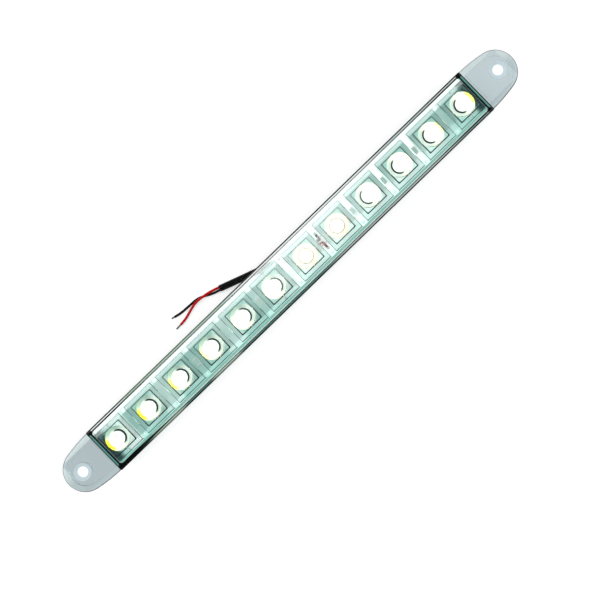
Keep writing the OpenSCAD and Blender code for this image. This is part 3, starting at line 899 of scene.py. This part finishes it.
# Cords: the wires' and the sleeve's routes, in metres, as the source of the part has them
lead = {
    "wireDiameter": 0.001,
    "sleeveDiameter": 0.0027,
    "sleeveBore": 0.00236,
    "redLength": 0.072,
    "blackLength": 0.072,
    "sleeveLength": 0.0396,
    "redBare": 0.0024,
    "blackBare": 0.0013,
    "strandDiameter": 0.0002,
    "hiddenStrand": 0.0003,
    "strandTurns": 0.7,
    "ridges": {"ridges": 6, "ridgeHeight": 0.000012, "turns": 700.0},
}
sleeveRoute = [
    (0.0128, 0.0012, 0.00138), (0.0087, 0.0026, 0.00138), (0.0046, 0.004, 0.00138),
    (-0.0003, 0.0057, 0.00138), (-0.0052, 0.0074, 0.00138), (-0.0101, 0.0091, 0.00138),
    (-0.015, 0.0108, 0.00138), (-0.0198, 0.0125, 0.00138), (-0.0246, 0.0142, 0.00138),
]
redRoute = [
    (0.0168, -0.0032, 0.0054), (0.0168, -0.0024, 0.0054), (0.0168, -0.0016, 0.0051),
    (0.0168, -0.0011, 0.0046), (0.0168, -0.0009, 0.004), (0.0168, -0.0008, 0.0033),
    (0.0166, -0.0007, 0.0026), (0.0162, -0.0006, 0.002), (0.0156, -0.0004, 0.0016),
    (0.0148, -0.0001, 0.0014), (0.0126, 0.0007, 0.00138), (0.0086, 0.0022, 0.001),
    (0.0046, 0.004, 0.00083), (-0.0002, 0.0061, 0.001), (-0.005, 0.0079, 0.00138),
    (-0.0099, 0.0096, 0.00138), (-0.0148, 0.0113, 0.00138), (-0.0196, 0.013, 0.00138),
    (-0.0244, 0.0147, 0.0014), (-0.0266, 0.0154, 0.0016), (-0.0288, 0.016, 0.0017),
    (-0.031, 0.0164, 0.0017), (-0.0332, 0.0167, 0.0016), (-0.0354, 0.0167, 0.00135),
    (-0.0376, 0.0163, 0.0009), (-0.0398, 0.0157, 0.00055), (-0.042, 0.0151, 0.00055),
    (-0.0438, 0.0148, 0.00055), (-0.0454, 0.0147, 0.00055),
]
blackRoute = [
    (0.0168, 0.0032, 0.0054), (0.0168, 0.0024, 0.0054), (0.0168, 0.0016, 0.0051),
    (0.0168, 0.0011, 0.0046), (0.0168, 0.0009, 0.004), (0.0168, 0.0008, 0.0033),
    (0.0166, 0.0008, 0.0026), (0.0162, 0.0009, 0.002), (0.0156, 0.001, 0.0016),
    (0.0148, 0.0011, 0.0014), (0.013, 0.0017, 0.00138), (0.0088, 0.003, 0.00176),
    (0.0046, 0.004, 0.00193), (-0.0004, 0.0053, 0.00176), (-0.0054, 0.0069, 0.00138),
    (-0.0103, 0.0086, 0.00138), (-0.0152, 0.0103, 0.00138), (-0.02, 0.012, 0.00138),
    (-0.0248, 0.0137, 0.00136), (-0.0268, 0.0143, 0.001), (-0.0288, 0.0151, 0.0006),
    (-0.0309, 0.0162, 0.00055), (-0.0329, 0.0171, 0.00055), (-0.035, 0.0175, 0.00055),
    (-0.0371, 0.0176, 0.00055), (-0.0392, 0.0177, 0.00055), (-0.0413, 0.0178, 0.00055),
    (-0.0433, 0.0181, 0.00055), (-0.045, 0.0185, 0.00055),
]


def smoothPath(points, steps):
    # A curve through all the points
    points = [Vector(p) for p in points]
    ends = [2 * points[0] - points[1], *points, 2 * points[-1] - points[-2]]
    path = []
    for k in range(1, len(ends) - 2):
        a, b, c, d = ends[k - 1:k + 3]
        for j in range(steps):
            t = j / steps
            path.append(0.5 * (2 * b + (c - a) * t + (2 * a - 5 * b + 4 * c - d) * t ** 2
                               + (3 * b - a - 3 * c + d) * t ** 3))
    path.append(points[-1])
    return path


def pathFrames(path):
    # Two directions across the path at each point, carried along without a twist
    frames = []
    side = None
    for k, point in enumerate(path):
        tangent = (path[min(k + 1, len(path) - 1)] - path[max(k - 1, 0)]).normalized()
        if side is None:
            side = tangent.cross(Vector((1, 0, 0)) if abs(tangent.x) < 0.9 else Vector((0, 0, 1)))
        side = (side - side.dot(tangent) * tangent).normalized()
        frames.append((point, side, tangent.cross(side)))
    return frames


def sweep(bm, frames, radii, sides, ridges=0, ridgeHeight=0.0, turns=0.0):
    # A tube along the frames, open at both ends. Its ridges wind round it, by turns radians per metre
    rings = []
    along = 0.0
    for k, (point, side, other) in enumerate(frames):
        if k:
            along += (point - frames[k - 1][0]).length
        ring = []
        for j in range(sides):
            angle = 2 * math.pi * j / sides
            swell = ridgeHeight * math.cos(ridges * (angle + turns * along)) if ridges else 0.0
            reach = radii[k] + swell
            ring.append(bm.verts.new(point + reach * (math.cos(angle) * side + math.sin(angle) * other)))
        rings.append(ring)
    joinRings(bm, rings)
    return rings


def tubePiece(name, material, build):
    bm = bmesh.new()
    build(bm)
    bmesh.ops.recalc_face_normals(bm, faces=bm.faces)
    mesh = bpy.data.meshes.new(name)
    bm.to_mesh(mesh)
    bm.free()
    return dressMesh(name, mesh, material)


def makeWire(name, route, material):
    # Insulation with the faint twist of the strands under it
    path = smoothPath(route, 6)
    frames = pathFrames(path)
    radius = lead["wireDiameter"] / 2

    def build(bm):
        ends = [0.4 * radius, 0.9 * radius]
        radii = ends + [radius] * len(frames) + ends[::-1]
        rings = sweep(bm, frames[:1] * 2 + frames + frames[-1:] * 2, radii, 24, **lead["ridges"])
        bm.faces.new(rings[0][::-1])
        bm.faces.new(rings[-1])

    return tubePiece(name, material, build), path


def makeBareEnd(name, route, length):
    # Six tinned strands wound round a seventh. They start a little inside the insulation
    end = Vector(route[-1])
    tangent = (end - Vector(route[-2])).normalized()
    side = tangent.cross(Vector((0, 0, 1))).normalized()
    other = tangent.cross(side)
    strand = lead["strandDiameter"] / 2
    hidden = lead["hiddenStrand"]
    turns = lead["strandTurns"] * length / lead["redBare"]
    steps = 14

    def build(bm):
        for k in range(7):
            path = []
            for j in range(steps + 1):
                share = j / steps
                middle = end - hidden * tangent + (length + hidden) * share * tangent
                angle = 2 * math.pi * (k / 6 + turns * share)
                reach = 0 if k == 6 else 2 * strand
                path.append(middle + reach * (math.cos(angle) * side + math.sin(angle) * other))
            rings = sweep(bm, pathFrames(path), [strand] * len(path), 10)
            bm.faces.new(rings[0][::-1])
            bm.faces.new(rings[-1])

    return tubePiece(name, plain["strands"], build)


def makeSleeve():
    # Shrunk tube with a soft lip at both ends and an open bore
    path = smoothPath(sleeveRoute, 8)
    frames = pathFrames(path)
    outer = lead["sleeveDiameter"] / 2
    inner = lead["sleeveBore"] / 2

    def build(bm):
        radii = [outer] * len(frames)
        radii[0] = radii[-1] = outer - 0.3 * (outer - inner)
        outside = sweep(bm, frames, radii, 32)
        inside = sweep(bm, frames, [inner] * len(frames), 32)
        joinRings(bm, [outside[0], inside[0]])
        joinRings(bm, [outside[-1], inside[-1]])

    return tubePiece("leadSleeve", plain["sleeveBlack"], build), path


def makeLead():
    redWire, redPath = makeWire("redWire", redRoute, plain["redPvc"])
    blackWire, blackPath = makeWire("blackWire", blackRoute, plain["blackPvc"])
    sleeve, sleevePath = makeSleeve()
    redBare = makeBareEnd("redBareEnd", redRoute, lead["redBare"])
    blackBare = makeBareEnd("blackBareEnd", blackRoute, lead["blackBare"])
    for piece, node, slot in (
        (redWire, "wire_red", "red_insulation"), (blackWire, "wire_black", "black_insulation"),
        (sleeve, "lead_sleeve", "sleeve"), (redBare, "bare_end_red", "tinned_metal"),
        (blackBare, "bare_end_black", "tinned_metal"),
    ):
        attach(piece, "root")
        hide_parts(node)


makeLead()
print("lead made")


# Lens strip: a row of square cells, each with a round lens hanging under its top. Sizes in mm
strip = {
    "bottom": row["boardTop"],
    "top": boxOf("lens_strip")[1].z,
    "ceiling": 7.8,
    "cell": 2 * boxOf("lens_strip")[1].y,
    "pocket": 10.8,
    "corner": 0.4,
    "edge": 0.42,
    "draft": 0.06,
    "fillet": 0.45,
    "halfLength": boxOf("lens_strip")[1].x,
    "lensRadius": 4.9,
    "footRadius": 3.449,
    "footZ": 5.4,
    "bowlFocus": 1.8279,
    "bowlZ": 3.7721,
    "wellRadius": 2.949,
    "bulgeZ": 5.9,
    "bulgeHeight": 1.6,
    "bulgeEdge": 1.2,
    "webWidth": 4.6,
    "webOverlap": 0.4,
    "slack": 0.002,
    "footEdge": 0.1,
    "bulgeDraft": 1.4,
    "curveSteps": 14,
}
turnSteps = 96


def cellOutline(x0, x1, half, corner):
    # As many points as the circle has
    return spreadSides(cutCorners(x0, x1, -half, half, corner, 5), turnSteps // 4 - 6)


def alignCircle(outline, radius):
    # Points of a circle, evenly spaced from the direction of the outline's first point
    start = math.atan2(outline[0][1], outline[0][0])
    return [(radius * math.cos(start + 2 * math.pi * k / turnSteps),
             radius * math.sin(start + 2 * math.pi * k / turnSteps)) for k in range(turnSteps)]


def makeCell(name, left, right):
    # One closed shell: outside, pocket, bowl, well and bulge. left and right are its reach from the lens
    bm = bmesh.new()
    half = strip["cell"] / 2
    pocketHalf = strip["pocket"] / 2
    bottom = strip["bottom"]
    ceiling = strip["ceiling"]
    draft = strip["draft"]
    fillet = strip["fillet"]
    steps = strip["curveSteps"]

    def outside(inset):
        return cellOutline(-left + inset, right - inset, half - inset, max(0.05, strip["corner"] - inset))

    def pocket(inset, z):
        square = cellOutline(-pocketHalf + inset, pocketHalf - inset, pocketHalf - inset, strip["corner"])
        return addRing(bm, square, z)

    def circle(r, z):
        return addRing(bm, alignCircle(foot, r), z)

    foot = cellOutline(-pocketHalf, pocketHalf, pocketHalf, strip["corner"])
    lean = draft * (strip["top"] - bottom)
    footEdge = strip["footEdge"]
    rings = [addRing(bm, outside(footEdge), bottom), addRing(bm, outside(0), bottom + footEdge)]
    for inset, z in roundRow(strip["top"], strip["edge"], 4):
        rings.append(addRing(bm, outside(lean + inset), z))
    joinRings(bm, rings)
    bm.faces.new(rings[-1])
    lean = draft * (ceiling - bottom)
    inner = [pocket(0, bottom), pocket(lean, ceiling - fillet)]
    for k in range(1, 4):
        angle = math.radians(30 * k)
        drop = fillet * (1 - math.sin(angle))
        inner.append(pocket(lean + fillet * (1 - math.cos(angle)), ceiling - drop))
    inner.append(circle(strip["lensRadius"], ceiling))
    for k in range(steps + 1):
        r = strip["lensRadius"] + (strip["footRadius"] - strip["lensRadius"]) * k / steps
        inner.append(circle(r, strip["bowlZ"] + r * r / (4 * strip["bowlFocus"])))
    well = strip["wellRadius"]
    height = strip["bulgeHeight"]
    crown = well - draft * strip["bulgeDraft"] * (strip["bulgeZ"] + height - strip["footZ"])
    inner.append(circle(well, strip["footZ"]))
    inner.append(circle(crown, strip["bulgeZ"] + height))
    ball = (crown ** 2 + height ** 2) / (2 * height)
    for k in range(1, steps):
        r = crown * (1 - k / steps)
        inner.append(circle(r, strip["bulgeZ"] + ball - math.sqrt(ball * ball - r * r)))
    joinRings(bm, inner)
    closeRing(bm, inner[-1], strip["bulgeZ"])
    joinRings(bm, [rings[0], inner[0]])
    bmesh.ops.recalc_face_normals(bm, faces=bm.faces)
    return finishMesh(name, bm, clearLens)


def makeBlock(name, x0, x1, y0, y1, z0, z1, material):
    bm = bmesh.new()
    bmesh.ops.create_cube(bm, size=1)
    place = Matrix.Translation(((x0 + x1) / 2, (y0 + y1) / 2, (z0 + z1) / 2))
    bmesh.ops.transform(bm, matrix=place @ Matrix.Diagonal((x1 - x0, y1 - y0, z1 - z0, 1)), verts=bm.verts)
    return finishMesh(name, bm, material)


def dressBowls(mesh):
    # The bowls, their feet and the wells' walls take the painted glow, and the pockets' round upper edges
    # the painted dark edge
    mesh.materials.append(paintedLensGlow)
    mesh.materials.append(pocketEdgeShade)
    pitch = row["pitch"]
    for face in mesh.polygons:
        x, y, z = face.center / mm
        along = x - pitch * (round(x / pitch - 0.5) + 0.5)
        r = math.hypot(along, y)
        inPocket = z < strip["ceiling"] - strip["slack"] and max(abs(along), abs(y)) < strip["pocket"] / 2
        if inPocket and strip["bulgeEdge"] < r < strip["lensRadius"]:
            face.material_index = 1
        elif inPocket and r > strip["lensRadius"] and z > strip["ceiling"] - strip["fillet"]:
            face.material_index = 2


def makeLensStrip():
    half = strip["cell"] / 2
    pitch = row["pitch"]
    halfRow = (row["count"] - 1) / 2 * pitch
    endReach = strip["halfLength"] - halfRow
    middle = setInRow(makeCell("middleCell", half, half), row["count"] - 2, pitch, clearLens)
    leftEnd = makeCell("leftCell", endReach, half)
    rightEnd = makeCell("rightCell", half, endReach)
    leftEnd.data.transform(Matrix.Translation((-halfRow * mm, 0, 0)))
    rightEnd.data.transform(Matrix.Translation((halfRow * mm, 0, 0)))
    cells = dressMesh("cells", joinPieces("cells", [middle, leftEnd, rightEnd]), clearLens)
    gap = pitch - strip["cell"]
    webX = gap / 2 + strip["webOverlap"]
    webY = strip["webWidth"] / 2
    web = makeBlock("web", -webX, webX, -webY, webY, strip["ceiling"], strip["top"], clearLens)
    webs = setInRow(web, row["count"] - 1, pitch, clearLens)
    union = cells.modifiers.new("union", "BOOLEAN")
    union.operation = "UNION"
    union.solver = "EXACT"
    union.object = webs
    applyAll(cells)
    bpy.data.objects.remove(webs)
    piece = dressMesh("lensStrip", cells.data, clearLens)
    bpy.data.objects.remove(cells)
    weighNormals(piece)
    applyAll(piece)
    dressBowls(piece.data)
    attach(piece, "root")
    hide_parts("lens_strip")


makeLensStrip()
print("lens strip made")


# Cover: an open box with round upper edges, its window over the lenses. Sizes in mm
cover = {
    "halfLength": boxOf("cover")[1].x,
    "halfWidth": boxOf("cover")[1].y,
    "bottom": boxOf("cover")[0].z + 0.03,
    "top": boxOf("cover")[1].z,
    "wall": 1.4,
    "window": 1.2,
    "edge": 0.8,
    "lineWidth": 0.6,
    "corner": 0.6,
    "innerEdge": 0.4,
    "draft": 0.005,
}


def makeCover():
    bm = bmesh.new()
    c = cover

    def outline(inset, corner):
        return cutCorners(-c["halfLength"] + inset, c["halfLength"] - inset,
                          -c["halfWidth"] + inset, c["halfWidth"] - inset, corner, 8)

    lean = c["draft"] * (c["top"] - c["bottom"])
    outer = [addRing(bm, outline(0, c["corner"]), c["bottom"])]
    for inset, z in roundRow(c["top"], c["edge"], 10):
        outer.append(addRing(bm, outline(lean + inset, max(0.05, c["corner"] - inset * 0.6)), z))
    joinRings(bm, outer)
    bm.faces.new(outer[-1])
    ceiling = c["top"] - c["window"]
    inner = [addRing(bm, outline(c["wall"], c["corner"]), c["bottom"])]
    for inset, z in roundRow(ceiling, c["innerEdge"], 5):
        inner.append(addRing(bm, outline(c["wall"] + lean + inset, c["corner"]), z))
    joinRings(bm, inner)
    bm.faces.new(inner[-1])
    joinRings(bm, [outer[0], inner[0]])
    bmesh.ops.recalc_face_normals(bm, faces=bm.faces)
    piece = finishMesh("cover", bm, clearCover)
    piece.name = "coverShell"
    weighNormals(piece)
    applyAll(piece)
    # The outer round edge's faces take the painted dark edge
    piece.data.materials.append(coverEdgeShade)
    for face in piece.data.polygons:
        x, y, z = face.center / mm
        inset = min(c["halfLength"] - abs(x), c["halfWidth"] - abs(y))
        if z > c["top"] - c["edge"] and inset < c["lineWidth"]:
            face.material_index = 1
    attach(piece, "root")
    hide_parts("cover")


makeCover()
print("cover made")


# Kept CAD nodes get their finishes
def dressNodes():
    finishes = {"base": clearBase, "circuit_board": boardMask, "cable_grommet": plain["grommetRubber"],
                "diode": chipAndCaps, "solder_red": plain["tinned"], "solder_black": plain["tinned"]}
    for k in range(1, 5):
        finishes[f"resistor_{k}"] = chipAndCaps
    for k in range(1, row["count"] + 1):
        finishes[f"led_{k:02d}_package"] = plain["ledBody"]
        finishes[f"led_{k:02d}_phosphor"] = phosphorGlow
        finishes[f"led_{k:02d}_legs"] = plain["tinned"]
    for name, material in finishes.items():
        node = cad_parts[name]
        for place in node.material_slots:
            place.material = material


dressNodes()
print("kept nodes finished")


# Studio: pale floor, a dim room and large soft lamps. Sizes in metres
studio = {
    "floorSize": 6.0,
    "floorColour": (0.60, 0.60, 0.60),
    "floorLift": 0.62,
    "floorZ": -0.00002,
    "roomDim": 0.12,
    "horizon": (0.25, 0.5),
    "lamps": [
        {"name": "key", "place": (-0.55, 0.75, 1.05), "size": 1.27, "radiance": 2.75},
        {"name": "fill", "place": (0.75, -0.55, 1.05), "size": 1.27, "radiance": 2.2},
        {
            "name": "overhead", "place": (0.004, 0.016, 1.2), "size": 0.30, "width": 0.09, "radiance": 3.0,
            "soft": True,
        },
    ],
}


def seenRay(tree):
    # 1 for camera, mirror and see-through rays, which all meet the same background
    rays = addNode(tree, "ShaderNodeLightPath").outputs
    seen = larger(tree, rays["Is Camera Ray"], rays["Is Glossy Ray"])
    return larger(tree, seen, rays["Is Transmission Ray"])


def makeFloor():
    bm = bmesh.new()
    bmesh.ops.create_grid(bm, x_segments=2, y_segments=2, size=studio["floorSize"] / 2)
    mesh = bpy.data.meshes.new("floor")
    bm.to_mesh(mesh)
    bm.free()
    floor = bpy.data.objects.new("floor", mesh)
    floor.location.z = studio["floorZ"]
    scene.collection.objects.link(floor)
    material, tree, shader = newMaterial("paleFloor")
    setInputs(shader, Base_Color=(*studio["floorColour"], 1), Roughness=0.9, Specular_IOR_Level=0.0)
    shader.inputs["Emission Color"].default_value = (1, 1, 1, 1)
    lift = times(tree, seenRay(tree), studio["floorLift"])
    tree.links.new(lift, shader.inputs["Emission Strength"])
    mesh.materials.append(material)


def makeRoom():
    # Pale up to a little over the horizon for rays that see it, and dim for the rest
    world = bpy.data.worlds.new("room")
    scene.world = world
    world.use_nodes = True
    tree = world.node_tree
    back = tree.nodes["Background"]
    back.inputs["Color"].default_value = (1, 1, 1, 1)
    place = addNode(tree, "ShaderNodeTexCoord")
    apart = addNode(tree, "ShaderNodeSeparateXYZ")
    tree.links.new(place.outputs["Generated"], apart.inputs[0])
    dim = studio["roomDim"]
    fade = ramp(tree, apart.outputs["Z"], *studio["horizon"], 1.0 - dim, 0.0)
    strength = calc(tree, "MULTIPLY_ADD", fade, seenRay(tree), dim)
    tree.links.new(strength, back.inputs["Strength"])


def softenLamp(data):
    # Fades the lamp out from its middle to its edges
    data.use_nodes = True
    tree = data.node_tree
    glow = tree.nodes["Emission"]
    place = addNode(tree, "ShaderNodeNewGeometry")
    centred = addNode(tree, "ShaderNodeVectorMath", operation="SUBTRACT")
    centred.inputs[1].default_value = (0.5, 0.5, 0.0)
    flat = addNode(tree, "ShaderNodeVectorMath", operation="MULTIPLY")
    flat.inputs[1].default_value = (2.0, 2.0, 0.0)
    reach = addNode(tree, "ShaderNodeVectorMath", operation="LENGTH")
    tree.links.new(place.outputs["Parametric"], centred.inputs[0])
    tree.links.new(centred.outputs[0], flat.inputs[0])
    tree.links.new(flat.outputs[0], reach.inputs[0])
    fade = ramp(tree, reach.outputs["Value"], 0.15, 1.0, 1.0, 0.0)
    tree.links.new(fade, glow.inputs["Strength"])


def makeLamps():
    for lamp in studio["lamps"]:
        data = bpy.data.lights.new(lamp["name"], "AREA")
        width = lamp.get("width", lamp["size"])
        data.shape = "RECTANGLE"
        data.size = lamp["size"]
        data.size_y = width
        data.energy = lamp["radiance"] * math.pi * lamp["size"] * width
        light = bpy.data.objects.new(lamp["name"], data)
        place = Vector(lamp["place"])
        light.location = place
        if lamp.get("soft"):
            softenLamp(data)
        else:
            light.rotation_euler = place.to_track_quat("Z", "Y").to_euler()
        scene.collection.objects.link(light)


makeFloor()
makeRoom()
makeLamps()
print("studio made")
